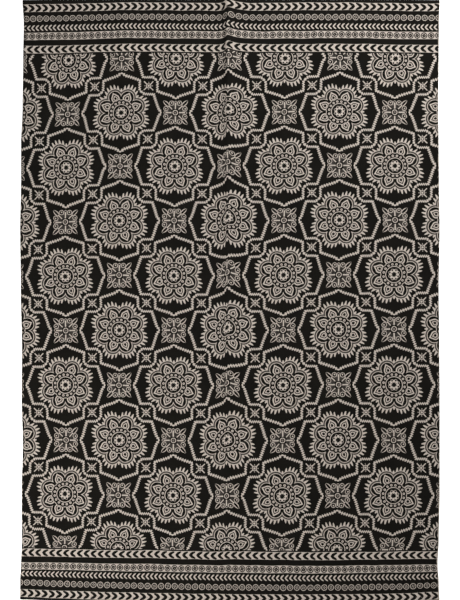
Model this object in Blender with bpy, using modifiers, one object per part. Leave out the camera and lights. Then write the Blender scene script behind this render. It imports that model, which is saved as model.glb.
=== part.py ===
"""A printed cotton rug lying flat: one sheet of flat-woven cotton, turned under and hemmed at both ends.

Units are metres and +Z is up. The rug's length runs along Y and its width along X. The origin is on the
floor, under the middle of the rug. The sheet keeps the soft ridges of the folds that it was stored in, and
the slight waves of its selvedges and ends.
"""

import math

import bmesh
import bpy

# Driving dimensions of the sheet
RUG_WIDTH = 1.390
RUG_LENGTH = 2.008
CLOTH_THICKNESS = 0.0025

# The hem: the end of the cloth is turned under, once, and lies just below the upper layer
HEM_DEPTH = 0.022
HEM_GAP = 0.0007
HEM_STEP = 0.015
FOLD_STEPS = 4

# Spacing of the mesh where the cloth is plain, and the finest columns, along the crest of a ridge
PLAIN_COLUMN = 0.090
PLAIN_ROW = 0.056
MM = 0.001

# Old folds along the length, in millimetres: where each lies across the rug, and how fast its ridge falls away
# to its left and right
FOLDS = {
    "middle": {"across": -7, "left": 12, "right": 24},
    "left quarter": {"across": -362, "left": 22, "right": 26},
    "right quarter": {"across": 352, "left": 24, "right": 22},
}
CREST_ROUNDING = 6 * MM
RIDGE_FOOT = 0.25 * MM

# The cloth rests on its four corners and lies a hair's breadth off the floor between them
CROWN = 0.2 * MM
CROWN_POWER = 8

# Height of each ridge in millimetres, at stations along the rug
RIDGE_HEIGHTS = [
    {"along": -1006, "middle": 5.0, "left quarter": 1.5, "right quarter": 1.0},
    {"along": -800, "middle": 4.0, "left quarter": 1.0, "right quarter": 1.5},
    {"along": -480, "middle": 5.5, "left quarter": 1.5, "right quarter": 2.5},
    {"along": -150, "middle": 8.0, "left quarter": 2.5, "right quarter": 1.5},
    {"along": 120, "middle": 7.0, "left quarter": 1.5, "right quarter": 2.0},
    {"along": 340, "middle": 10.0, "left quarter": 1.0, "right quarter": 1.0},
    {"along": 520, "middle": 9.0, "left quarter": 2.0, "right quarter": 2.0},
    {"along": 660, "middle": 14.0, "left quarter": 3.0, "right quarter": 2.5},
    {"along": 860, "middle": 20.0, "left quarter": 9.0, "right quarter": 2.0},
    {"along": 1006, "middle": 22.0, "left quarter": 4.0, "right quarter": 1.0},
]

# Puckers: low rounded lumps in the cloth, in millimetres
PUCKERS = [
    {"across": 306, "along": 868, "height": 5.0, "wide": 34, "long": 70},
    {"across": 438, "along": 848, "height": 8.0, "wide": 40, "long": 62},
    {"across": 30, "along": 300, "height": 3.0, "wide": 70, "long": 90},
    {"across": -540, "along": 420, "height": 3.0, "wide": 80, "long": 120},
    {"across": 560, "along": -120, "height": 3.5, "wide": 70, "long": 130},
    {"across": -230, "along": -560, "height": 3.0, "wide": 90, "long": 80},
    {"across": 640, "along": -890, "height": 6.0, "wide": 34, "long": 44},
]

# How far each selvedge stands out from a straight line, in millimetres, at stations along the rug
SELVEDGES = [
    {"along": -1006, "left": 4, "right": 3},
    {"along": -940, "left": 4, "right": 1},
    {"along": -876, "left": 1, "right": -3},
    {"along": -796, "left": -2, "right": 1},
    {"along": -636, "left": -1, "right": 4},
    {"along": -476, "left": -5, "right": 4},
    {"along": -316, "left": -1, "right": 4},
    {"along": -156, "left": -2, "right": 3},
    {"along": 40, "left": 2, "right": 1},
    {"along": 244, "left": 4, "right": 4},
    {"along": 404, "left": 1, "right": 2},
    {"along": 524, "left": 1, "right": 1},
    {"along": 644, "left": -4, "right": -1},
    {"along": 804, "left": -6, "right": 1},
    {"along": 924, "left": -8, "right": 2},
    {"along": 1006, "left": -4, "right": 4},
]

# How far each end stands out from a straight line, in millimetres, at stations across the rug
ENDS = [
    {"across": -695, "near": -11, "far": -2},
    {"across": -567, "near": -6, "far": 0},
    {"across": -400, "near": -1, "far": 0},
    {"across": -217, "near": 3, "far": 0},
    {"across": 133, "near": 7, "far": 0},
    {"across": 400, "near": 6, "far": 0},
    {"across": 566, "near": 4, "far": 0},
    {"across": 695, "near": -2, "far": -1},
]
END_REACH = 0.18

CLOTH_COLOUR = (0.10, 0.092, 0.085, 1.0)
CLOTH_ROUGHNESS = 0.92


def eased(share):
    """A smooth step from 0 to 1."""
    share = min(1.0, max(0.0, share))
    return share * share * (3 - 2 * share)


def from_table(rows, station, value, at):
    """The value of a table's column at a station in metres, eased from row to row."""
    at /= MM
    if at <= rows[0][station]:
        return rows[0][value] * MM
    for low, high in zip(rows, rows[1:]):
        if at <= high[station]:
            share = (at - low[station]) / (high[station] - low[station])
            return (low[value] + (high[value] - low[value]) * eased(share)) * MM
    return rows[-1][value] * MM


def ridge_height(name, x, y):
    """Height of one fold's ridge above the flat cloth: steep at its crest and falling away to nothing."""
    fold = FOLDS[name]
    distance = x - fold["across"] * MM
    reach = (fold["left"] if distance < 0 else fold["right"]) * MM
    rounded = math.hypot(distance, CREST_ROUNDING) - CREST_ROUNDING
    return from_table(RIDGE_HEIGHTS, "along", name, y) * math.exp(-rounded / reach)


def pucker_height(pucker, x, y):
    """Height of one rounded lump, which ends level with the cloth."""
    across = (x / MM - pucker["across"]) / pucker["wide"]
    along = (y / MM - pucker["along"]) / pucker["long"]
    return pucker["height"] * MM * math.exp(-across * across - along * along)


def crown_height(x, y):
    """The same small height over the whole rug, falling to nothing at the four corners."""
    corner = (2 * x / RUG_WIDTH) ** CROWN_POWER * (2 * y / RUG_LENGTH) ** CROWN_POWER
    return CROWN * max(0.0, 1 - corner)


def relief(x, y):
    """How far the cloth stands off the floor, which is next to nothing over most of the rug."""
    height = sum(ridge_height(name, x, y) for name in FOLDS)
    height += sum(pucker_height(pucker, x, y) for pucker in PUCKERS)
    return max(0.0, height - RIDGE_FOOT) + crown_height(x, y)


def outline(x, y):
    """Moves a point of a plain rectangle to where it lies in the real, slightly uneven outline."""
    side = "left" if x < 0 else "right"
    stretch = 1 + from_table(SELVEDGES, "along", side, y) / (RUG_WIDTH / 2)
    end = "near" if y < 0 else "far"
    reach = eased((abs(y) - RUG_LENGTH / 2 + END_REACH) / END_REACH)
    shift = from_table(ENDS, "across", end, x) * reach
    return x * stretch, y + math.copysign(shift, y) if end == "far" else y - shift


def surface_point(x, y, lift):
    """A point of the cloth, lifted square to the slope of the cloth there."""
    small = 0.0005
    slope_x = (relief(x + small, y) - relief(x - small, y)) / (2 * small)
    slope_y = (relief(x, y + small) - relief(x, y - small)) / (2 * small)
    size = math.sqrt(1 + slope_x * slope_x + slope_y * slope_y)
    plan_x, plan_y = outline(x, y)
    foot = relief(x, y) + CLOTH_THICKNESS / 2
    return plan_x - slope_x / size * lift, plan_y - slope_y / size * lift, foot + lift / size


def column_stations():
    """Places of the mesh's columns across the rug, close together on the flanks of the ridges."""
    near_crest = {
        "middle": (-58, -38, -26, -18, -12, -7, -3, 0, 3, 7, 12, 18, 26, 38, 56, 84),
        "left quarter": (-54, -26, 0, 28, 58),
        "right quarter": (-22, 0, 24, 52),
    }
    stations = [fold["across"] * MM + offset * MM for name, fold in FOLDS.items() for offset in near_crest[name]]
    stations += [pucker["across"] * MM for pucker in PUCKERS[:2]]
    stations = sorted(stations + [-RUG_WIDTH / 2, RUG_WIDTH / 2])
    filled = [stations[0]]
    for station in stations[1:]:
        gap = station - filled[-1]
        pieces = max(1, math.ceil(gap / PLAIN_COLUMN))
        filled += [filled[-1] + gap * (step + 1) / pieces for step in range(pieces)]
    return filled


def hem_section():
    """(y, lift) of the far hem's cloth, from its raw edge under the rug, round the fold and back to the plain cloth."""
    radius = (CLOTH_THICKNESS + HEM_GAP) / 2
    turn = RUG_LENGTH / 2 - CLOTH_THICKNESS / 2 - radius
    raw_edge = RUG_LENGTH / 2 - HEM_DEPTH
    section = [(raw_edge, 0.0), ((raw_edge + turn) / 2, 0.0)]
    for step in range(FOLD_STEPS + 1):
        angle = math.pi * step / FOLD_STEPS
        section.append((turn + radius * math.sin(angle), radius * (1 - math.cos(angle))))
    section.append((raw_edge - HEM_GAP, 2 * radius))
    for step in (0.3, 0.7, 1.0):
        section.append((raw_edge - HEM_GAP - HEM_STEP * step, 2 * radius * (1 - eased(step))))
    return section


def row_stations():
    """(y, lift) of the mesh's rows, from one hem's raw edge to the other's."""
    far = hem_section()
    near = [(-y, lift) for y, lift in far]
    start, stop = near[-1][0], far[-1][0]
    pieces = math.ceil((stop - start) / PLAIN_ROW)
    plain = [(start + (stop - start) * step / pieces, 0.0) for step in range(1, pieces)]
    return near + plain + far[::-1]


def centred(bm):
    """Moves the sheet so that its outline is centred on the origin."""
    for axis in (0, 1):
        places = [vert.co[axis] for vert in bm.verts]
        middle = (min(places) + max(places)) / 2
        for vert in bm.verts:
            vert.co[axis] -= middle


def cotton():
    """Black-printed cotton."""
    material = bpy.data.materials.new("printed_cotton")
    material.use_nodes = True
    shader = material.node_tree.nodes["Principled BSDF"]
    shader.inputs["Base Color"].default_value = CLOTH_COLOUR
    shader.inputs["Roughness"].default_value = CLOTH_ROUGHNESS
    shader.inputs["Metallic"].default_value = 0.0
    return material


def rug(collection):
    """The rug: the middle surface of its cloth, given its thickness by Solidify."""
    columns, rows = column_stations(), row_stations()
    bm = bmesh.new()
    bmesh.ops.create_grid(bm, x_segments=len(columns) - 1, y_segments=len(rows) - 1, size=0.5)
    for vert in bm.verts:
        column = round((vert.co.x + 0.5) * (len(columns) - 1))
        row = round((vert.co.y + 0.5) * (len(rows) - 1))
        vert.co = surface_point(columns[column], *rows[row])
    centred(bm)
    mesh = bpy.data.meshes.new("rug")
    bm.to_mesh(mesh)
    bm.free()
    mesh.shade_smooth()
    mesh.materials.append(cotton())
    obj = bpy.data.objects.new("rug", mesh)
    collection.objects.link(obj)
    thickness = obj.modifiers.new("cloth_thickness", "SOLIDIFY")
    thickness.thickness = CLOTH_THICKNESS
    thickness.offset = 0.0
    thickness.use_even_offset = True
    return obj


def main():
    for old in list(bpy.data.objects):
        bpy.data.objects.remove(old)
    collection = bpy.data.collections.new("printed_cotton_rug")
    bpy.context.scene.collection.children.link(collection)
    rug(collection)


main()
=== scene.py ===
import math

import bmesh
import bpy
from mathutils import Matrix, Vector, noise


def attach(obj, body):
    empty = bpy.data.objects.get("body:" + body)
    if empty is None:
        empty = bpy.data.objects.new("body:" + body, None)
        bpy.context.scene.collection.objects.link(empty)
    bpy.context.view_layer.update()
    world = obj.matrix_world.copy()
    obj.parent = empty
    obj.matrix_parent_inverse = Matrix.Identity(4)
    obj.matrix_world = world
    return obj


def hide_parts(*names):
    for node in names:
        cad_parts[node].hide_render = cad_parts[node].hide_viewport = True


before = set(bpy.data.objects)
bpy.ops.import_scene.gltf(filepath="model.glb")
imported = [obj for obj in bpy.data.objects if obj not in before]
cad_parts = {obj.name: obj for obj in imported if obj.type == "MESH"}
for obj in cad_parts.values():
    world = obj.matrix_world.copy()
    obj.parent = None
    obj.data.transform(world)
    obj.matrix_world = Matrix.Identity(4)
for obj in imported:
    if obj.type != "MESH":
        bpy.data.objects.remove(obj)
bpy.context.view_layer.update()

MM = 0.001
SEED = 11

# Sizes of the cloth, and the spacing of its mesh, in metres
RUG_WIDTH = 1.390
RUG_LENGTH = 2.008
CLOTH_THICKNESS = 0.0025
HEM_DEPTH = 0.022
HEM_GAP = 0.0007
HEM_STEP = 0.015
HEM_TURN_STEPS = 6
COLUMN = 0.010
ROW = 0.010
CREST_COLUMN = 0.003
CREST_REACH = 0.055

# Old folds along the length, in millimetres: place across the rug, and how fast the ridge falls away on each side
FOLDS = {
    "middle": {"across": -7, "left": 12, "right": 24},
    "left quarter": {"across": -362, "left": 22, "right": 26},
    "right quarter": {"across": 352, "left": 24, "right": 22},
}

# How rounded a crest is, how much of a ridge's thin foot is left off, and how far the plain cloth stands off the floor
CREST_ROUNDING = 6 * MM
RIDGE_FOOT = 0.25 * MM
CROWN = 0.2 * MM

RIDGE_HEIGHTS = [
    {"along": -1006, "middle": 5.0, "left quarter": 1.5, "right quarter": 1.0},
    {"along": -800, "middle": 4.0, "left quarter": 1.0, "right quarter": 1.5},
    {"along": -480, "middle": 5.5, "left quarter": 1.5, "right quarter": 2.5},
    {"along": -150, "middle": 8.0, "left quarter": 2.5, "right quarter": 1.5},
    {"along": 120, "middle": 7.0, "left quarter": 1.5, "right quarter": 2.0},
    {"along": 340, "middle": 10.0, "left quarter": 1.0, "right quarter": 1.0},
    {"along": 520, "middle": 9.0, "left quarter": 2.0, "right quarter": 2.0},
    {"along": 660, "middle": 14.0, "left quarter": 3.0, "right quarter": 2.5},
    {"along": 860, "middle": 20.0, "left quarter": 9.0, "right quarter": 2.0},
    {"along": 1006, "middle": 22.0, "left quarter": 4.0, "right quarter": 1.0},
]

PUCKERS = [
    {"across": 306, "along": 868, "height": 5.0, "wide": 34, "long": 70},
    {"across": 438, "along": 848, "height": 8.0, "wide": 40, "long": 62},
    {"across": 30, "along": 300, "height": 3.0, "wide": 70, "long": 90},
    {"across": -540, "along": 420, "height": 3.0, "wide": 80, "long": 120},
    {"across": 560, "along": -120, "height": 3.5, "wide": 70, "long": 130},
    {"across": -230, "along": -560, "height": 3.0, "wide": 90, "long": 80},
    {"across": 640, "along": -890, "height": 6.0, "wide": 34, "long": 44},
]

SELVEDGES = [
    {"along": -1006, "left": 4, "right": 3},
    {"along": -940, "left": 4, "right": 1},
    {"along": -876, "left": 1, "right": -3},
    {"along": -796, "left": -2, "right": 1},
    {"along": -636, "left": -1, "right": 4},
    {"along": -476, "left": -5, "right": 4},
    {"along": -316, "left": -1, "right": 4},
    {"along": -156, "left": -2, "right": 3},
    {"along": 40, "left": 2, "right": 1},
    {"along": 244, "left": 4, "right": 4},
    {"along": 404, "left": 1, "right": 2},
    {"along": 524, "left": 1, "right": 1},
    {"along": 644, "left": -4, "right": -1},
    {"along": 804, "left": -6, "right": 1},
    {"along": 924, "left": -8, "right": 2},
    {"along": 1006, "left": -4, "right": 4},
]

ENDS = [
    {"across": -695, "near": -11, "far": 1},
    {"across": -567, "near": -6, "far": 2},
    {"across": -400, "near": -1, "far": 2},
    {"across": -217, "near": 3, "far": 2},
    {"across": 133, "near": 7, "far": 2},
    {"across": 400, "near": 6, "far": 2},
    {"across": 566, "near": 4, "far": 2},
    {"across": 695, "near": -2, "far": 1},
]

# How far in from its end the cloth takes part in that unevenness, in metres
END_REACH = 0.18

# How far the print is dragged along the middle fold's crest, in millimetres, towards the far end and to the left
DRAG = [
    {"along": -1006, "far": 1, "left": 1},
    {"along": -662, "far": 2, "left": 3},
    {"along": -462, "far": 7, "left": 5},
    {"along": -212, "far": 12, "left": 6},
    {"along": 522, "far": 16, "left": 7},
    {"along": 760, "far": 12, "left": 6},
    {"along": 1006, "far": 10, "left": 5},
]
DRAG_LEFT = 6 * MM
DRAG_RIGHT = 26 * MM

# How far the blocks were laid from a true lattice, in millimetres: to the right, by place across the rug
PRINT_ACROSS = [
    {"across": -695, "right": 5.5},
    {"across": -560, "right": 3.0},
    {"across": -440, "right": 0.0},
    {"across": -290, "right": -1.7},
    {"across": -60, "right": -2.2},
    {"across": 90, "right": -4.5},
    {"across": 200, "right": -3.0},
    {"across": 450, "right": -2.0},
    {"across": 560, "right": -0.5},
    {"across": 695, "right": 0.5},
]

# And towards the near end, for the field and then for the borders: by place along the rug, at its left side, between
# there and the middle, and so on
FIELD_ALONG = [
    {"along": -823, "left": -8.5, "left half": -2.7, "middle": 2.2, "right half": 1.6, "right": 0.8},
    {"along": -763, "left": -8.3, "left half": -1.4, "middle": 4.0, "right half": 3.3, "right": 2.7},
    {"along": -663, "left": -5.7, "left half": 0.0, "middle": 5.0, "right half": 4.0, "right": 3.7},
    {"along": -563, "left": -4.2, "left half": -1.0, "middle": 3.4, "right half": 1.4, "right": 2.8},
    {"along": -463, "left": -2.9, "left half": -0.8, "middle": 3.0, "right half": 0.2, "right": 1.7},
    {"along": -363, "left": -2.9, "left half": -1.8, "middle": 2.0, "right half": -0.8, "right": 0.6},
    {"along": -163, "left": -2.8, "left half": -2.5, "middle": 0.6, "right half": -3.0, "right": -1.5},
    {"along": -63, "left": -2.0, "left half": -3.8, "middle": -0.8, "right half": -4.0, "right": -4.0},
    {"along": 37, "left": 0.6, "left half": -2.2, "middle": 0.6, "right half": -1.8, "right": -3.3},
    {"along": 137, "left": 1.6, "left half": -3.6, "middle": -1.4, "right half": -4.4, "right": -3.0},
    {"along": 337, "left": 2.4, "left half": -2.5, "middle": -0.4, "right half": -3.5, "right": -1.8},
    {"along": 437, "left": 3.8, "left half": -2.2, "middle": -0.5, "right half": -2.7, "right": -0.5},
    {"along": 537, "left": 5.8, "left half": -1.4, "middle": 0.7, "right half": -2.4, "right": 0.8},
    {"along": 630, "left": 8.4, "left half": 2.0, "middle": 3.7, "right half": 0.0, "right": 3.8},
    {"along": 720, "left": 11.4, "left half": 4.2, "middle": 6.4, "right half": 3.8, "right": 8.2},
]
BORDERS_ALONG = [
    {"along": -1004, "left": 0.0, "left half": 0.0, "middle": 0.0, "right half": 0.0, "right": 0.0},
    {"along": -890, "left": -4.5, "left half": -1.2, "middle": 2.0, "right half": 3.5, "right": 1.0},
    {"along": -840, "left": -6.5, "left half": -1.2, "middle": 3.0, "right half": 5.0, "right": 2.0},
    {"along": 840, "left": 7.0, "left half": 0.5, "middle": 2.6, "right half": 1.0, "right": 3.6},
    {"along": 1004, "left": 7.5, "left half": 1.0, "middle": 3.6, "right half": 1.6, "right": 4.4},
]
PRINT_COLUMNS = [("left", -0.64), ("left half", -0.32), ("middle", 0.0), ("right half", 0.32), ("right", 0.64)]


def eased(share):
    share = min(1.0, max(0.0, share))
    return share * share * (3 - 2 * share)


def from_table(rows, station, value, at):
    """The value of a table's column at a station in metres, eased from row to row."""
    at /= MM
    if at <= rows[0][station]:
        return rows[0][value] * MM
    for low, high in zip(rows, rows[1:]):
        if at <= high[station]:
            share = (at - low[station]) / (high[station] - low[station])
            return (low[value] + (high[value] - low[value]) * eased(share)) * MM
    return rows[-1][value] * MM


def ridge_height(name, x, y):
    fold = FOLDS[name]
    distance = x - fold["across"] * MM
    reach = (fold["left"] if distance < 0 else fold["right"]) * MM
    rounded = math.hypot(distance, CREST_ROUNDING) - CREST_ROUNDING
    if rounded > 12 * reach:
        return 0.0
    return from_table(RIDGE_HEIGHTS, "along", name, y) * math.exp(-rounded / reach)


def pucker_height(pucker, x, y):
    across = (x / MM - pucker["across"]) / pucker["wide"]
    along = (y / MM - pucker["along"]) / pucker["long"]
    return pucker["height"] * MM * math.exp(-across * across - along * along)


def ripple(x, y):
    """The slight unevenness of washed cotton: waves of up to 0.8 mm, and none at the edges."""
    calm = eased((RUG_WIDTH / 2 - abs(x)) / 0.05) * eased((RUG_LENGTH / 2 - abs(y)) / 0.08)
    broad = noise.noise(Vector((x * 7, y * 5, SEED)))
    fine = noise.noise(Vector((x * 26, y * 17, SEED + 5)))
    return calm * (0.55 * MM * max(0.0, broad + 0.25) + 0.3 * MM * max(0.0, fine))


def relief(x, y):
    """How far the cloth stands off the floor."""
    height = sum(ridge_height(name, x, y) for name in FOLDS)
    height += sum(pucker_height(pucker, x, y) for pucker in PUCKERS)
    return max(0.0, height - RIDGE_FOOT) + CROWN + ripple(x, y)


def outline(x, y):
    """Moves a point of a plain rectangle to where it lies in the rug's slightly uneven outline."""
    side = "left" if x < 0 else "right"
    stretch = 1 + from_table(SELVEDGES, "along", side, y) / (RUG_WIDTH / 2)
    end = "near" if y < 0 else "far"
    reach = eased((abs(y) - RUG_LENGTH / 2 + END_REACH) / END_REACH)
    shift = from_table(ENDS, "across", end, x) * reach
    return x * stretch, y + math.copysign(shift, y) if end == "far" else y - shift


def surface_point(x, y, lift):
    small = 0.0005
    height = relief(x, y)
    slope_x = (relief(x + small, y) - height) / small
    slope_y = (relief(x, y + small) - height) / small
    size = math.sqrt(1 + slope_x * slope_x + slope_y * slope_y)
    plan_x, plan_y = outline(x, y)
    return Vector((plan_x - slope_x / size * lift, plan_y - slope_y / size * lift,
                   height + CLOTH_THICKNESS / 2 + lift / size))


def print_drift(rows, x, y):
    """How far towards the near end the print lies from its true place."""
    columns = [(place, from_table(rows, "along", name, y)) for name, place in PRINT_COLUMNS]
    if x <= columns[0][0]:
        return columns[0][1]
    for (low, before), (high, after) in zip(columns, columns[1:]):
        if x <= high:
            return before + (after - before) * eased((x - low) / (high - low))
    return columns[-1][1]


def print_place(x, y, along):
    """Where in the flat print a point of the cloth lies: the middle fold has dragged the print a little."""
    distance = x - FOLDS["middle"]["across"] * MM
    reach = DRAG_LEFT if distance < 0 else DRAG_RIGHT
    rounded = math.hypot(distance, CREST_ROUNDING) - CREST_ROUNDING
    share = math.exp(-rounded / reach) if rounded < 12 * reach else 0.0
    across = x + share * from_table(DRAG, "along", "left", y) - from_table(PRINT_ACROSS, "across", "right", x)
    return across, along - share * from_table(DRAG, "along", "far", y)


def column_stations():
    crest = FOLDS["middle"]["across"] * MM
    stations, x = [], -RUG_WIDTH / 2
    while x < RUG_WIDTH / 2 - 0.3 * COLUMN:
        stations.append(x)
        near = min(1.0, max(0.0, (abs(x - crest) - 0.4 * CREST_REACH) / (0.6 * CREST_REACH)))
        x += CREST_COLUMN + (COLUMN - CREST_COLUMN) * near
    return stations + [RUG_WIDTH / 2]


def hem_section():
    """(y, lift, print place) of the far hem, from its raw edge under the rug, round the fold and up to plain cloth."""
    radius = (CLOTH_THICKNESS + HEM_GAP) / 2
    turn = RUG_LENGTH / 2 - CLOTH_THICKNESS / 2 - radius
    raw_edge = RUG_LENGTH / 2 - HEM_DEPTH
    path = [(raw_edge, 0.0), (raw_edge + 0.4 * (turn - raw_edge), 0.0), (raw_edge + 0.75 * (turn - raw_edge), 0.0)]
    for step in range(HEM_TURN_STEPS + 1):
        angle = math.pi * step / HEM_TURN_STEPS
        path.append((turn + radius * math.sin(angle), radius * (1 - math.cos(angle))))
    for step in (0.4, 0.75, 1.0):
        path.append((turn + (raw_edge - HEM_GAP - turn) * step, 2 * radius))
    for step in (0.25, 0.5, 0.75, 1.0):
        path.append((raw_edge - HEM_GAP - HEM_STEP * step, 2 * radius * (1 - eased(step))))
    along, places = path[-1][0], []
    for here, before in zip(path[::-1], [path[-1]] + path[:0:-1]):
        along += math.hypot(here[0] - before[0], here[1] - before[1])
        places.append(along)
    return [(y, lift, place) for (y, lift), place in zip(path, places[::-1])]


def row_stations():
    far = hem_section()
    near = [(-y, lift, -place) for y, lift, place in far]
    start, stop = near[-1][0], far[-1][0]
    pieces = math.ceil((stop - start) / ROW)
    plain = [start + (stop - start) * step / pieces for step in range(1, pieces)]
    return near + [(y, 0.0, y) for y in plain] + far[::-1]


def plain_mesh(obj):
    """Turns an object with modifiers into a plain mesh object of the same name."""
    graph = bpy.context.evaluated_depsgraph_get()
    mesh = bpy.data.meshes.new_from_object(obj.evaluated_get(graph))
    old, name = obj.data, obj.name
    bpy.data.objects.remove(obj)
    if isinstance(old, bpy.types.Mesh):
        bpy.data.meshes.remove(old)
    mesh.name = name
    made = bpy.data.objects.new(name, mesh)
    bpy.context.scene.collection.objects.link(made)
    return made


def rug_cloth(material):
    """The cloth with its two turned hems. Its UV map is the flat print in metres; 'printed' is 1 on the face;
    'drift' holds how far the field and the borders were laid from their true places, and the distance from the
    selvedge. Also gives the middle that the cloth was moved from."""
    columns, rows = column_stations(), row_stations()
    bm = bmesh.new()
    uv = bm.loops.layers.uv.new("print")
    drifts = bm.verts.layers.float_vector.new("drift")
    grid, places = [], {}
    for y, lift, along in rows:
        line = []
        for x in columns:
            vert = bm.verts.new(surface_point(x, y, lift))
            places[vert] = print_place(x, y, along)
            inset = min(0.05, RUG_WIDTH / 2 - abs(x))
            vert[drifts] = (print_drift(FIELD_ALONG, x, y), print_drift(BORDERS_ALONG, x, y), inset)
            line.append(vert)
        grid.append(line)
    for low, high in zip(grid, grid[1:]):
        for left in range(len(columns) - 1):
            face = bm.faces.new((low[left], low[left + 1], high[left + 1], high[left]))
            for loop in face.loops:
                loop[uv].uv = places[loop.vert]
    middle = [(min(v.co[a] for v in bm.verts) + max(v.co[a] for v in bm.verts)) / 2 for a in (0, 1)]
    for vert in bm.verts:
        vert.co.x -= middle[0]
        vert.co.y -= middle[1]
    mesh = bpy.data.meshes.new("rug_cloth")
    bm.to_mesh(mesh)
    bm.free()
    mesh.materials.append(material)
    cloth = bpy.data.objects.new("rug_cloth", mesh)
    bpy.context.scene.collection.objects.link(cloth)
    face_points = len(mesh.vertices)
    thickness = cloth.modifiers.new("thickness", "SOLIDIFY")
    thickness.thickness = CLOTH_THICKNESS
    thickness.offset = 0.0
    thickness.use_even_offset = True
    cloth = plain_mesh(cloth)
    mesh = cloth.data
    face = mesh.attributes.new("printed", "FLOAT", "POINT")
    face.data.foreach_set("value", [1.0 if i < face_points else 0.0 for i in range(len(mesh.vertices))])
    mesh.shade_smooth()
    return cloth, Vector((middle[0], middle[1], 0.0))


class Value:
    """A number that varies over a surface. Its operators add the Math nodes of an expression to a material."""

    def __init__(self, sheet, socket):
        self.sheet = sheet
        self.socket = socket

    def maths(self, operation, *others):
        inputs = {0: self}
        inputs.update({place: other for place, other in enumerate(others, 1)})
        return self.sheet.node("ShaderNodeMath", {"operation": operation}, inputs)

    def __add__(self, other):
        return self.maths("ADD", other)

    __radd__ = __add__

    def __mul__(self, other):
        return self.maths("MULTIPLY", other)

    __rmul__ = __mul__

    def __sub__(self, other):
        return self.maths("SUBTRACT", other)

    def __rsub__(self, other):
        return self.sheet.node("ShaderNodeMath", {"operation": "SUBTRACT"}, {0: other, 1: self})

    def __truediv__(self, other):
        return self.maths("DIVIDE", other)

    def __rtruediv__(self, other):
        return self.sheet.node("ShaderNodeMath", {"operation": "DIVIDE"}, {0: other, 1: self})

    def __pow__(self, other):
        return self.maths("POWER", other)

    def __neg__(self):
        return self.maths("MULTIPLY", -1.0)

    def __abs__(self):
        return self.maths("ABSOLUTE")

    def floor(self):
        return self.maths("FLOOR")

    def fract(self):
        return self.maths("FRACT")

    def round(self):
        return self.maths("ROUND")

    def sine(self):
        return self.maths("SINE")

    def cosine(self):
        return self.maths("COSINE")

    def least(self, other):
        return self.maths("MINIMUM", other)

    def most(self, other):
        return self.maths("MAXIMUM", other)

    def over(self, limit, soft=0.35):
        """1 where the value is over a limit, 0 where it is under it, with a soft edge between."""
        return self.step(limit, soft, 0.0, 1.0)

    def under(self, limit, soft=0.35):
        return self.step(limit, soft, 1.0, 0.0)

    def within(self, low, high):
        """1 where the value is between two limits."""
        return self.over(low) * self.under(high)

    def step(self, limit, soft, low, high):
        if isinstance(limit, Value):
            return (self - limit).step(0.0, soft, low, high)
        return self.sheet.node(
            "ShaderNodeMapRange",
            {"interpolation_type": "SMOOTHSTEP"},
            {"Value": self, "From Min": limit - soft, "From Max": limit + soft, "To Min": low, "To Max": high},
        )

    def bands(self, bands, reach, soft=0.35):
        """1 inside each (from, to) band of the value and 0 between them, as a ramp from 0 to reach."""
        stops = []
        for start, stop in bands:
            if start > 0:
                stops += [(start - soft, 0.0), (start + soft, 1.0)]
            else:
                stops.append((0.0, 1.0))
            stops += [(stop - soft, 1.0), (stop + soft, 0.0)]
        stops = [(place / reach, (level, level, level, 1.0)) for place, level in stops]
        return self.sheet.node("ShaderNodeValToRGB", {"stops": stops}, {"Fac": self / reach})


def reach_of(x, y):
    """The length of a vector."""
    return (x * x + y * y) ** 0.5


class Sheet:
    """A material, with one way of adding any node to it."""

    def __init__(self, name, finish):
        self.material = bpy.data.materials.new(name)
        self.material.use_nodes = True
        self.tree = self.material.node_tree
        self.shader = self.tree.nodes["Principled BSDF"]
        for socket, value in finish.items():
            self.shader.inputs[socket].default_value = value

    def node(self, kind, settings=None, inputs=None, output=0):
        made = self.tree.nodes.new(kind)
        for name, value in (settings or {}).items():
            if name == "stops":
                ramp = made.color_ramp
                while len(ramp.elements) > 1:
                    ramp.elements.remove(ramp.elements[-1])
                ramp.elements[0].position, ramp.elements[0].color = value[0]
                for place, colour in value[1:]:
                    ramp.elements.new(place).color = colour
            else:
                setattr(made, name, value)
        for name, value in (inputs or {}).items():
            self.set(made.inputs[name], value)
        return Value(self, made.outputs[output])

    def set(self, socket, value):
        if isinstance(value, Value):
            self.tree.links.new(value.socket, socket)
        else:
            socket.default_value = value

    def place(self, x, y, z=0.0):
        return self.node("ShaderNodeCombineXYZ", {}, {"X": x, "Y": y, "Z": z})

    def split(self, vector):
        """The three parts of a vector."""
        made = self.node("ShaderNodeSeparateXYZ", {}, {0: vector}).socket.node
        return [Value(self, part) for part in made.outputs]

    def cloud(self, place, scale, detail=2.0, rough=0.5, output=0):
        """A noise, from 0 to 1, over a place."""
        return self.node("ShaderNodeTexNoise", {"noise_dimensions": "3D"},
                         {"Vector": place, "Scale": scale, "Detail": detail, "Roughness": rough}, output)

    def clouds(self, place, scale, detail):
        """Three noises over a place, none of which follows another."""
        return self.split(self.cloud(place, scale, detail, output=1))

    def blend(self, share, low, high):
        """A colour between two colours."""
        return self.node("ShaderNodeMix", {"data_type": "RGBA"}, {"Factor": share, 6: low, 7: high}, 2)

    def finish(self, colour, normal=None):
        self.set(self.shader.inputs["Base Color"], colour)
        if normal is not None:
            self.set(self.shader.inputs["Normal"], normal)
        return self.material


# The printing blocks, in millimetres. The field repeats on a checkerboard of medallions and square rosettes.
PITCH_ACROSS = 182.7
PITCH_ALONG = 182.43
ROW_ZERO = 814.6
COLUMN_ZERO = 3.4
SLANT_ACROSS = 0.0064
SLANT_ALONG = 0.0027
END_LINE = 1004.5
NEAR_END_STRETCH = 0.985
FIELD_START = 175.5
PETALS = 8
BEADS = 16
SPIKES = 48
DISC_PITCH = 22.7

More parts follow.
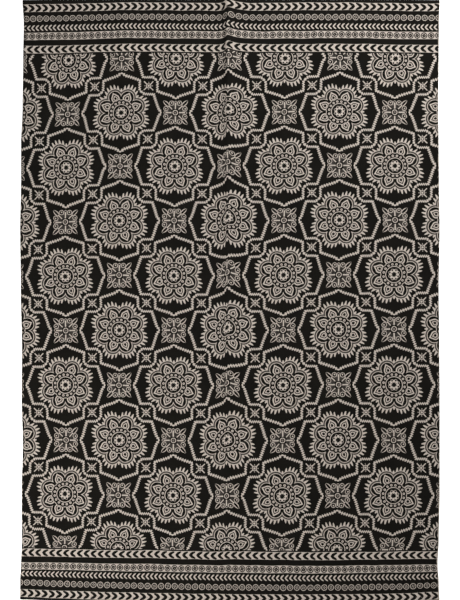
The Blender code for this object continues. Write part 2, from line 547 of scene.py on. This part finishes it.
# The medallion, from its middle outwards
HEART = {"rings": [(7.8, 18.0)], "lobe": 1.6, "dot place": 15.2, "dot": 2.8}
COLLAR = {"from": 25.7, "to": 28.3, "bead place": 34.4, "bead": 4.0, "hole": 1.3}
FENCE = {"line": [(42.4, 44.8)], "wave": 1.2, "from": 44.0}
DROP = {"place": 51.5, "tip": 1.54, "rings": [(4.3, 7.4), (10.2, 14.4)]}
PETAL = {"place": 54.6, "squeeze": 1.06, "lines": [(22.2, 24.8), (29.6, 32.2)], "faint line": [(26.6, 27.8)],
         "faint": 0.70}
SPIKE = {"from": 30.6, "to": 46.5, "shorter": 46.0, "taper": 15.0, "half width": 3.7, "tip": 0.3}

# The square flower: m is the distance along the nearer axis, n the distance off it
ROSETTE_RINGS = [(1.6, 2.8), (6.4, 9.2)]
BAR = {"from": 12.5, "to": 33.5, "half width": 2.3}
LOOP = {"place": 29.0, "from": 24.0, "half length": 11.2, "half width": 5.9, "line": [(0.80, 1.0)]}
CURL = {"place": (32.0, 13.6), "line": [(6.3, 8.5)], "dot place": (33.0, 13.2), "dot": [(0, 2.6)]}
CORNER = {"place": 43.5, "half length": 15.5, "from": 28.5, "to": 58.0, "line": [(3.5, 6.6)], "clear": 7.4,
          "hollow": 3.5, "hollow from": 33.5}
STEM = {"from": 15.5, "to": 34.0, "half width": 1.8}
VEINS = {"count": 5.0, "from": 13.0, "to": 27.0, "half width": 0.17, "off bar": 3.4, "off stem": 3.0, "faint": 0.62}

# The small flower in the gaps
CROSS = {"from": 7.0, "to": 21.5, "half width": 2.4, "rings": [(0, 3.7), (5.9, 8.6)], "tip place": 12.0, "tip": 1.6}

# The borders, by distance from the rug's end
PALE_BANDS = [(8.8, 34.2), (102.5, 127.0), (145.4, 171.0)]
LEAVES = {
    "outer leaves": {"pitch": 23.4, "centre": 21.5, "height": 12.2, "point": 1, "depth": 12.5, "stroke": 7.8},
    "inner leaves": {"pitch": 23.6, "centre": 158.2, "height": 12.0, "point": -1, "depth": 12.5, "stroke": 7.6},
    "small leaves": {"pitch": 14.5, "centre": 87.3, "height": 10.0, "point": -1, "depth": 8.8, "stroke": 3.5},
}
DISCS = {
    "dark discs": {"centre": 114.8, "rings": [(2.6, 5.2), (7.6, 10.4)]},
    "pale discs": {"centre": 56.6, "rings": [(0, 4.8), (7.8, 10.1)]},
}
DARK_DISCS_FROM = 99
PALE_DISCS_TO = 74
DISC_CROSS = {"from": 1.0, "to": 6.6, "half width": 1.2}

# Rows of the borders: pitch and shift along the row at the far end, then at the near end
BORDER_ROWS = {
    "outer leaves": (23.43, -4.5, 23.59, -16.4),
    "pale discs": (22.67, 0.6, 22.59, -11.5),
    "small leaves": (14.53, -6.2, 14.51, -3.2),
    "dark discs": (22.70, -1.3, 22.73, 10.7),
    "inner leaves": (23.59, -4.1, 23.65, 7.9),
}

# The feathered line round each medallion, for one eighth of its cell
TRELLIS = [
    {"from": (133.0, 0.0), "to": (132.6, 3.0), "core": 2.0, "stroke": 0.0},
    {"from": (132.6, 3.0), "to": (125.5, 13.0), "core": 1.9, "stroke": 5.4},
    {"from": (125.5, 13.0), "to": (109.3, 62.0), "core": 1.6, "stroke": 5.6},
    {"from": (109.3, 62.0), "to": (78.0, 62.2), "core": 1.5, "stroke": 5.0},
    {"from": (78.0, 62.2), "to": (69.5, 69.5), "core": 1.5, "stroke": 5.0},
]
STROKES_ACROSS = 6.85
STROKES_ALONG = 7.9


def folded_angle(angle, sectors):
    """Angle from the middle line of its sector, in turns, where sectors share a full turn evenly."""
    return abs((angle * sectors).fract() - 0.5) / sectors


def medallion(x, y):
    """The flower: eye, ring of dots, ring of beads, eight petals in double outline and a rim of spikes."""
    r = reach_of(x, y)
    angle = y.maths("ARCTAN2", x) / math.tau + 1.0
    petal_turn = folded_angle(angle, PETALS) * math.tau
    petal_x, petal_y = r * petal_turn.cosine(), r * petal_turn.sine()
    bead_turn = folded_angle(angle, BEADS) * math.tau
    bead_x, bead_y = r * bead_turn.cosine(), r * bead_turn.sine()

    lobed = r - HEART["lobe"] * (petal_turn * PETALS).cosine()
    heart = lobed.bands(HEART["rings"], 24) * reach_of(petal_x - HEART["dot place"], petal_y).over(HEART["dot"])
    bead = reach_of(bead_x - COLLAR["bead place"], bead_y)
    core = (r - COLLAR["to"]).least(bead - COLLAR["bead"])
    collar = r.over(COLLAR["from"]) * core.under(0) * bead.over(COLLAR["hole"])
    inner = heart.most(collar)

    drop_x, drop_y = petal_x - DROP["place"], petal_y
    tip_cos, tip_sin = 1 / DROP["tip"], math.sqrt(1 - 1 / DROP["tip"] ** 2)
    drop = reach_of(drop_x * tip_cos + drop_y * tip_sin, (drop_y * tip_cos - drop_x * tip_sin).most(0.0))
    leaf = drop.bands(DROP["rings"], 20)
    lobe = reach_of(petal_x - PETAL["place"], petal_y * PETAL["squeeze"])
    rim = lobe.bands(PETAL["lines"], 60).most(PETAL["faint"] * lobe.bands(PETAL["faint line"], 60))
    fence = r - FENCE["wave"] * (bead_turn * BEADS).cosine()
    halo = fence.bands(FENCE["line"], 60)

    spike_turn = folded_angle(angle + 0.5 / SPIKES, SPIKES) * math.tau
    tip = SPIKE["to"] - SPIKE["shorter"] * petal_turn * petal_turn
    length = ((tip - lobe) / SPIKE["taper"]).most(0.0)
    width = SPIKE["half width"] * (length * (1.6 - 0.75 * length)).most(0.0) ** 0.6 + SPIKE["tip"]
    spikes = (spike_turn * r).under(width) * lobe.over(SPIKE["from"]) * lobe.under(tip)
    outer = leaf.most(rim).most(spikes) * fence.over(FENCE["from"]) + halo
    return inner.most(outer.least(1.0))


def rosette(x, y):
    """The square flower: ring, four bars in loops, eight scrolls and four corner leaves."""
    ax, ay = abs(x), abs(y)
    m, n = ax.most(ay), ax.least(ay)
    r = reach_of(x, y)
    ring = r.bands(ROSETTE_RINGS, 20)
    bar = n.under(BAR["half width"]) * m.within(BAR["from"], BAR["to"])
    loop = reach_of((m - LOOP["place"]) / LOOP["half length"], n / LOOP["half width"])
    loop = loop.bands(LOOP["line"], 2, 0.05) * m.over(LOOP["from"])
    curl = reach_of(m - CURL["place"][0], n - CURL["place"][1])
    dot = reach_of(m - CURL["dot place"][0], n - CURL["dot place"][1])
    curls = curl.bands(CURL["line"], 20).most(dot.bands(CURL["dot"], 20))

    along, side = (m + n) * math.sqrt(0.5), (m - n) * math.sqrt(0.5)
    leaf = side / (1 - ((along - CORNER["place"]) / CORNER["half length"]) ** 2).most(0.02)
    in_leaf = along.within(CORNER["from"], CORNER["to"])
    corner = leaf.bands(CORNER["line"], 12) * in_leaf
    hollow = leaf.under(CORNER["hollow"]) * along.over(CORNER["hollow from"]) * in_leaf
    stem = side.under(STEM["half width"]) * along.within(STEM["from"], STEM["to"])
    fan = abs((n / m.most(1.0) * VEINS["count"]).fract() - 0.5).under(VEINS["half width"], 0.1)
    veins = fan * r.within(VEINS["from"], VEINS["to"]) * n.over(VEINS["off bar"]) * side.over(VEINS["off stem"])

    drawn = ring.most(bar).most(loop).most(curls).most(VEINS["faint"] * veins)
    drawn = drawn * (1 - leaf.under(CORNER["clear"]) * in_leaf)
    return drawn.most(corner).most(stem) * (1 - hollow)


def cross_flower(x, y):
    """The small flower in the gaps: a dot in a ring, and four arms."""
    ax, ay = abs(x), abs(y)
    r = reach_of(x, y)
    arms = abs(ax - ay).under(CROSS["half width"]) * r.within(CROSS["from"], CROSS["to"])
    tips = reach_of(ax.most(ay) - CROSS["tip place"], ax.least(ay)).under(CROSS["tip"])
    return arms.most(r.bands(CROSS["rings"], 20)).most(tips)


def trellis(x, y):
    """The rope-like line round each medallion: a row of short strokes, folded into one eighth of its cell."""
    ax, ay = abs(x), abs(y)
    m, n = ax.most(ay), ax.least(ay)
    rate = 1 / STROKES_ALONG + ax.over(ay, 1.0) * (1 / STROKES_ACROSS - 1 / STROKES_ALONG)
    drawn = None
    for part in TRELLIS:
        (x0, y0), (x1, y1) = part["from"], part["to"]
        length = math.hypot(x1 - x0, y1 - y0)
        ux, uy = (x1 - x0) / length, (y1 - y0) / length
        along = (m - x0) * ux + (n - y0) * uy
        side = (n - y0) * ux - (m - x0) * uy
        counted = n if abs(uy) > abs(ux) else m
        wave = abs(((counted + side * 0.45) * rate).fract() - 0.5) * 2
        beyond = (along - length).most(-along).most(0.0)
        off = abs(side) + beyond
        line = off.under(part["core"])
        if part["stroke"]:
            line = line.most(off.under(part["stroke"] * (0.6 + 0.4 * wave)) * wave.over(0.4, 0.22))
        drawn = line if drawn is None else drawn.most(line)
    return drawn


def field(u, v):
    """The all-over print, at a place in millimetres from the rug's middle."""
    a = (u - COLUMN_ZERO + SLANT_ACROSS * (ROW_ZERO - v)) / PITCH_ACROSS
    b = (ROW_ZERO + SLANT_ALONG * u - v) / PITCH_ALONG
    s, t = (a + b - 1) / 2, (a - b - 1) / 2
    ds, dt = s - s.round(), t - t.round()
    x, y = (ds + dt) * PITCH_ACROSS, (dt - ds) * PITCH_ALONG
    flower = medallion(x, y).most(trellis(x, y))
    s, t = (a + b) / 2, (a - b) / 2
    ds, dt = s - s.round(), t - t.round()
    square = rosette((ds + dt) * PITCH_ACROSS, (dt - ds) * PITCH_ALONG)
    small = cross_flower((a.fract() - 0.5) * PITCH_ACROSS, (b.fract() - 0.5) * PITCH_ALONG)
    return flower.most(square).most(small)


def row_place(u, near, far_pitch, far_shift, near_pitch, near_shift):
    """Places along a row of blocks, counted in blocks, which are laid a little differently at the two ends."""
    return (u - far_shift - near * (near_shift - far_shift)) * (1 / far_pitch + near * (1 / near_pitch - 1 / far_pitch))


def chevrons(place, e, pitch, centre, height, point, depth, stroke):
    """A row of leaf-shaped chevrons that point along u where point is 1, and against it where it is -1."""
    across = ((place * point).fract() - 0.5) * pitch
    rise = abs(e - centre) / height
    spine = depth * (0.5 - rise ** 1.15)
    width = stroke * (0.7 + 0.45 * rise) * (1.0 - rise ** 6).most(0.0)
    return abs(across - spine).under(width) * rise.under(1.0, 0.04)


def discs(place, e, centre, rings):
    """A row of discs with a small cross in each, each turned its own way, as (rings, cross)."""
    x = (place.fract() - 0.5) * DISC_PITCH
    y = e - centre
    turn = (place.floor() * 2.4).sine() * 3.0
    cos, sin = turn.cosine(), turn.sine()
    x2, y2 = x * cos + y * sin, y * cos - x * sin
    r = reach_of(x, y)
    cross = abs(x2).least(abs(y2)).under(DISC_CROSS["half width"]) * r.within(DISC_CROSS["from"], DISC_CROSS["to"])
    return r.bands(rings, 24), cross


def borders(u, e, near):
    """The printed bands at a rug's end, where e is the distance from the end and near is 1 at the near end."""
    places = {name: row_place(u, near, *laid) for name, laid in BORDER_ROWS.items()}
    outer, inner, small = (chevrons(places[name], e, **leaf) for name, leaf in LEAVES.items())
    (dark_rings, dark_cross), (pale_rings, pale_cross) = (
        discs(places[name], e, **disc) for name, disc in DISCS.items())
    dark = outer.most(inner).most(dark_rings.most(dark_cross) * e.over(DARK_DISCS_FROM))
    pale = e.bands(PALE_BANDS, 260) * (1 - dark)
    return pale.most(pale_rings * (1 - pale_cross) * e.under(PALE_DISCS_TO)).most(small)


# The dyes and the yarn; the darker cream and natural are also used as painted shade in the weave's grooves
INK = (0.0076, 0.0069, 0.0056, 1.0)
INK_WORN = (0.0190, 0.0165, 0.0132, 1.0)
CREAM = (0.618, 0.540, 0.470, 1.0)
CREAM_GROOVE_SHADE_AND_MOTTLE = (0.40, 0.335, 0.278, 1.0)
NATURAL = (0.60, 0.53, 0.43, 1.0)
NATURAL_GROOVE_SHADE_AND_MOTTLE = (0.46, 0.40, 0.32, 1.0)

# How much of the print's soft edge the ink takes, and the weave's pitch both ways in millimetres
INK_SPREAD = 0.48
RIB = 2.3
WARP = 2.9

# How far the print wanders, and how ragged its edges are, in millimetres, with the scale of each
WANDER, WANDER_SCALE = 5.0, 0.018
RAGGED, RAGGED_SCALE = 1.3, 0.32
BLOTCH_SCALE = 0.011
GRAIN_SCALE = 0.55

# Bare yarn at the selvedges, in millimetres: its width at the left, what the right has more, and what that gains
# nearer than a place along the rug
BARE = {"left": 0.4, "right": 0.3, "spots": 14.0, "near end": -590.0, "wider": 1.3}
STRIKE_MOST = 0.42
BUMP_STRENGTH = 0.55
BUMP_DEPTH = 0.0006


def weave_height(u, v):
    """The height of a flat weave whose weft packs into ribs, from 0 in the grooves to 1 on the threads."""
    row = (v / RIB)
    ribs = abs((row * math.pi).sine())
    shift = (row.floor() * 0.5).fract() * 2
    threads = abs(((u / WARP + shift * 0.5) * math.pi).sine())
    return ribs * (0.55 + 0.45 * threads)


def printed_cotton():
    """The cloth: black print on natural cotton, its back, and the bare yarn of the right selvedge."""
    sheet = Sheet("printed_cotton", {"Roughness": 0.93, "Specular IOR Level": 0.05})
    u, v = (part * (1 / MM) for part in sheet.split(sheet.node("ShaderNodeUVMap", {"uv_map": "print"}))[:2])
    face = sheet.node("ShaderNodeAttribute", {"attribute_name": "printed"}, {}, 2)
    laid = sheet.split(sheet.node("ShaderNodeAttribute", {"attribute_name": "drift"}, {}, 1))
    field_drift, border_drift, inset = (part * (1 / MM) for part in laid)

    place = sheet.place(u, v)
    wander = sheet.clouds(place, WANDER_SCALE, 2.0)
    ragged = sheet.clouds(place, RAGGED_SCALE, 1.0)
    wu, wv = (at + (wander[axis] - 0.5) * WANDER + (ragged[axis] - 0.5) * RAGGED for axis, at in enumerate((u, v)))

    near = v.under(0.0, 1.0)
    e = (END_LINE - abs(wv + border_drift)) * (1 + (NEAR_END_STRETCH - 1) * near)
    inside = e.over(FIELD_START)
    pattern = field(wu, wv + field_drift) * inside + borders(wu, e, near) * (1 - inside)
    pattern = ((pattern - INK_SPREAD) / (1 - INK_SPREAD)).most(0.0)

    height = weave_height(u, v)
    blotch = sheet.cloud(place, BLOTCH_SCALE, 3.0, 0.6)
    grain = sheet.cloud(place, GRAIN_SCALE, 2.0, 0.6)
    # Painted shade: the cream darkens in the weave's grooves, where height is low, as well as random mottling from
    # grain and blotch
    cream_groove_shade_and_mottle = (0.10 + 0.75 * (1 - height) * grain + 0.5 * (blotch - 0.45)).most(0.0)
    worn = (0.10 + (grain - 0.5) * 1.1 + (blotch - 0.5) * 0.9).most(0.0)
    # Painted shade: the bare natural yarn darkens in the weave's grooves, where height is low, as well as random
    # mottling from blotch
    natural_groove_shade_and_mottle = (0.2 + (blotch - 0.5) + 0.6 * (1 - height)).most(0.0)
    natural = sheet.blend(natural_groove_shade_and_mottle, NATURAL, NATURAL_GROOVE_SHADE_AND_MOTTLE)

    spots = (sheet.cloud(sheet.place(0.0, v), 0.02, 3.0, 0.6) - 0.48).most(0.0) * BARE["spots"]
    wider = BARE["right"] + spots + v.under(BARE["near end"], 30.0) * BARE["wider"]
    bare = BARE["left"] + u.over(0.0, 1.0) * wider
    printed = sheet.blend(pattern, sheet.blend(worn, INK, INK_WORN), sheet.blend(cream_groove_shade_and_mottle, CREAM, CREAM_GROOVE_SHADE_AND_MOTTLE))
    front = sheet.blend(inset.under(bare, 0.6), printed, natural)
    strike = (sheet.cloud(place, 0.6, 2.0, 0.7) - 0.46).most(0.0) * 2.2 * (1 - pattern)
    back = sheet.blend(strike.least(STRIKE_MOST), natural, INK_WORN)
    colour = sheet.blend(face.over(0.3, 0.2), back, front)
    bump = {"Strength": BUMP_STRENGTH, "Distance": BUMP_DEPTH, "Height": height * (0.8 + 0.4 * grain)}
    return sheet.finish(colour, normal=sheet.node("ShaderNodeBump", {}, bump))


# Sewing thread and the weft's turns, in metres. A size is length, width and height; unevenness is a share of it.
STITCH_PITCH = 0.0066
STITCH_INSET = 0.0022
STITCH_SIZE = (0.0042, 0.0009, 0.0006)
STITCH_UNEVEN = 0.12
HEM_END = 0.005
UNDER_LIFT = 0.0003
TURN_PITCH = 0.0029
TURN_SIZE = (0.0029, 0.0018, 0.0022)
TURN_UNEVEN = 0.14
TURN_INSET = 0.0004
SELVEDGE_END = 0.006

# Nearer than this place along the rug, the right selvedge's yarn is left natural; none of the sewing thread is
NATURAL_FROM = -0.59
NO_NATURAL = -9.0


def dark_yarn(name, natural_from):
    """Printed yarn: black, but left natural at the right selvedge nearer than a place along the rug."""
    sheet = Sheet(name, {"Roughness": 0.95, "Specular IOR Level": 0.05})
    place = Value(sheet, sheet.node("ShaderNodeTexCoord").socket.node.outputs["Object"])
    x, y, _ = sheet.split(place)
    worn = sheet.cloud(place, 30.0, 2.0, 0.6)
    bare = x.over(0.3, 0.01) * (y.under(natural_from, 0.03) + 2.5 * (worn - 0.52)).least(1.0).most(0.0)
    ink = sheet.blend(worn, INK, INK_WORN)
    return sheet.finish(sheet.blend(bare, ink, NATURAL))


def yarn_piece(name, long, wide, high):
    """A short rounded piece of yarn along x, for the row makers below."""
    bm = bmesh.new()
    bmesh.ops.create_icosphere(bm, subdivisions=2, radius=0.5)
    for vert in bm.verts:
        vert.co = Vector((vert.co.x * long, vert.co.y * wide, vert.co.z * high))
    mesh = bpy.data.meshes.new(name)
    bm.to_mesh(mesh)
    bm.free()
    mesh.shade_smooth()
    return bpy.data.objects.new(name, mesh)


def row_maker():
    """Geometry nodes that lay a piece of yarn on every point of a row, turned to lie along it, a little unevenly."""
    tree = bpy.data.node_groups.new("yarn row", "GeometryNodeTree")
    for name, kind in (("Row", "NodeSocketGeometry"), ("Piece", "NodeSocketObject"),
                       ("Material", "NodeSocketMaterial"), ("Unevenness", "NodeSocketFloat"),
                       ("Seed", "NodeSocketInt")):
        tree.interface.new_socket(name, in_out="INPUT", socket_type=kind)
    tree.interface.new_socket("Row", in_out="OUTPUT", socket_type="NodeSocketGeometry")

    def add(kind, **settings):
        made = tree.nodes.new(kind)
        for name, value in settings.items():
            setattr(made, name, value)
        return made

    def join(source, output, target, place):
        tree.links.new(source.outputs[output], target.inputs[place])

    given, made = add("NodeGroupInput"), add("NodeGroupOutput")
    points = add("GeometryNodeMeshToPoints")
    piece = add("GeometryNodeObjectInfo")
    turn = add("GeometryNodeInputNamedAttribute", data_type="FLOAT_VECTOR")
    turn.inputs["Name"].default_value = "turn"
    low = add("ShaderNodeMath", operation="SUBTRACT")
    low.inputs[0].default_value = 1.0
    high = add("ShaderNodeMath", operation="ADD")
    high.inputs[0].default_value = 1.0
    uneven = add("FunctionNodeRandomValue", data_type="FLOAT")
    lay = add("GeometryNodeInstanceOnPoints")
    real = add("GeometryNodeRealizeInstances")
    dye = add("GeometryNodeSetMaterial")
    join(given, "Row", points, "Mesh")
    join(given, "Piece", piece, "Object")
    join(given, "Unevenness", low, 1)
    join(given, "Unevenness", high, 1)
    join(low, 0, uneven, 2)
    join(high, 0, uneven, 3)
    join(given, "Seed", uneven, "Seed")
    join(points, 0, lay, "Points")
    join(piece, "Geometry", lay, "Instance")
    join(turn, 0, lay, "Rotation")
    join(uneven, 1, lay, "Scale")
    join(lay, 0, real, 0)
    join(real, 0, dye, 0)
    join(given, "Material", dye, "Material")
    join(dye, 0, made, 0)
    return tree


def yarn_row(maker, name, places, piece, material, uneven, seed):
    """A row of yarn pieces, where places holds (middle, turn about the three axes) of each."""
    mesh = bpy.data.meshes.new(name)
    mesh.from_pydata([place for place, turn in places], [], [])
    turns = mesh.attributes.new("turn", "FLOAT_VECTOR", "POINT")
    turns.data.foreach_set("vector", [angle for place, turn in places for angle in turn])
    row = bpy.data.objects.new(name, mesh)
    bpy.context.scene.collection.objects.link(row)
    made = row.modifiers.new("yarn row", "NODES")
    made.node_group = maker
    values = {"Piece": piece, "Material": material, "Unevenness": uneven, "Seed": seed}
    for item in maker.interface.items_tree:
        if item.in_out == "INPUT" and item.name in values:
            made[item.identifier] = values[item.name]
    return plain_mesh(row)


def slope_turn(x, y, along_x):
    """How a piece of yarn on the face is turned to lie along x or along y."""
    small = 0.001
    if along_x:
        ahead = surface_point(x + small, y, 0.0) - surface_point(x - small, y, 0.0)
    else:
        ahead = surface_point(x, y + small, 0.0) - surface_point(x, y - small, 0.0)
    return tuple(ahead.to_track_quat("X", "Z").to_euler())


def hem_stitches(maker, material, middle):
    """Running stitches that hold the two hems, seen on the face and again on the turned-under side."""
    top = CLOTH_THICKNESS + HEM_GAP + CLOTH_THICKNESS / 2
    under = UNDER_LIFT - CLOTH_THICKNESS / 2
    count = round((RUG_WIDTH - 2 * HEM_END) / STITCH_PITCH)
    places = []
    for end in (-1, 1):
        y = end * (RUG_LENGTH / 2 - HEM_DEPTH + STITCH_INSET)
        for step in range(count + 1):
            x = -RUG_WIDTH / 2 + HEM_END + step * STITCH_PITCH
            if x > RUG_WIDTH / 2 - 0.8 * HEM_END:
                break
            turn = slope_turn(x, y, True)
            places.append((surface_point(x, y, top) - middle, turn))
            places.append((surface_point(x + STITCH_PITCH / 2, y, under) - middle, turn))
    return yarn_row(maker, "hem_stitches", places, yarn_piece("stitch", *STITCH_SIZE), material, STITCH_UNEVEN, SEED)


def selvedge_turns(maker, material, middle):
    """The weft turning back at both woven edges, one small bead for each rib."""
    places = []
    for side in (-1, 1):
        x = side * (RUG_WIDTH / 2 - TURN_INSET)
        y = -RUG_LENGTH / 2 + SELVEDGE_END
        while y < RUG_LENGTH / 2 - SELVEDGE_END:
            raised = CLOTH_THICKNESS + HEM_GAP if abs(y) > RUG_LENGTH / 2 - HEM_DEPTH else 0.0
            places.append((surface_point(x, y, raised) - middle, slope_turn(x, y, False)))
            y += TURN_PITCH
    return yarn_row(maker, "selvedge_turns", places, yarn_piece("weft_turn", *TURN_SIZE), material, TURN_UNEVEN,
                    SEED + 1)


# Floor, light and camera
FLOOR_HALF = 12.0
FRAME_HEIGHT = 2.0
CAMERA_HEIGHT = 8.0
CAMERA_OVER = (0.0003, 0.0072)
SENSOR = 24.0
WORLD_LIGHT = 0.284
LAMPS = [
    {"name": "key", "place": (1.25, 1.95, 1.8), "aim": (0.3, 0.4, 0.0), "size": 1.4, "power": 62,
     "colour": (0.965, 0.98, 1.0)},
    {"name": "fill", "place": (-1.0, -0.9, 1.4), "aim": (-0.35, -0.4, 0.0), "size": 1.0, "power": 17,
     "colour": (1.0, 1.0, 1.0)},
]


def floor():
    bm = bmesh.new()
    bmesh.ops.create_grid(bm, x_segments=1, y_segments=1, size=FLOOR_HALF)
    mesh = bpy.data.meshes.new("floor")
    bm.to_mesh(mesh)
    bm.free()
    sheet = Sheet("pale_floor", {"Base Color": (0.93, 0.93, 0.93, 1.0), "Roughness": 0.9, "Specular IOR Level": 0.1,
                                 "Emission Color": (1.0, 1.0, 1.0, 1.0), "Emission Strength": 0.9})
    mesh.materials.append(sheet.material)
    made = bpy.data.objects.new("floor", mesh)
    bpy.context.scene.collection.objects.link(made)


def soft_light(name, place, aim, size, power, colour):
    lamp = bpy.data.lights.new(name, "AREA")
    lamp.shape = "SQUARE"
    lamp.size = size
    lamp.energy = power
    lamp.color = colour
    made = bpy.data.objects.new(name, lamp)
    made.location = place
    made.rotation_euler = (Vector(aim) - Vector(place)).to_track_quat("-Z", "Y").to_euler()
    bpy.context.scene.collection.objects.link(made)


def light_and_camera():
    world = bpy.data.worlds.new("studio")
    world.use_nodes = True
    world.node_tree.nodes["Background"].inputs["Color"].default_value = (1.0, 1.0, 1.0, 1.0)
    world.node_tree.nodes["Background"].inputs["Strength"].default_value = WORLD_LIGHT
    bpy.context.scene.world = world
    for lamp in LAMPS:
        soft_light(**lamp)
    camera = bpy.data.cameras.new("camera")
    camera.sensor_fit = "VERTICAL"
    camera.sensor_height = SENSOR
    camera.lens = SENSOR * CAMERA_HEIGHT / FRAME_HEIGHT
    made = bpy.data.objects.new("camera", camera)
    made.location = (*CAMERA_OVER, CAMERA_HEIGHT)
    bpy.context.scene.collection.objects.link(made)
    bpy.context.scene.camera = made
    bpy.context.scene.view_settings.view_transform = "Standard"


cloth, middle = rug_cloth(printed_cotton())
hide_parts("rug")
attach(cloth, "root")

maker = row_maker()
stitches = hem_stitches(maker, dark_yarn("sewing_thread", NO_NATURAL), middle)
turns = selvedge_turns(maker, dark_yarn("selvedge_yarn", NATURAL_FROM), middle)
for piece in (stitches, turns):
    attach(piece, "root")

floor()
light_and_camera()
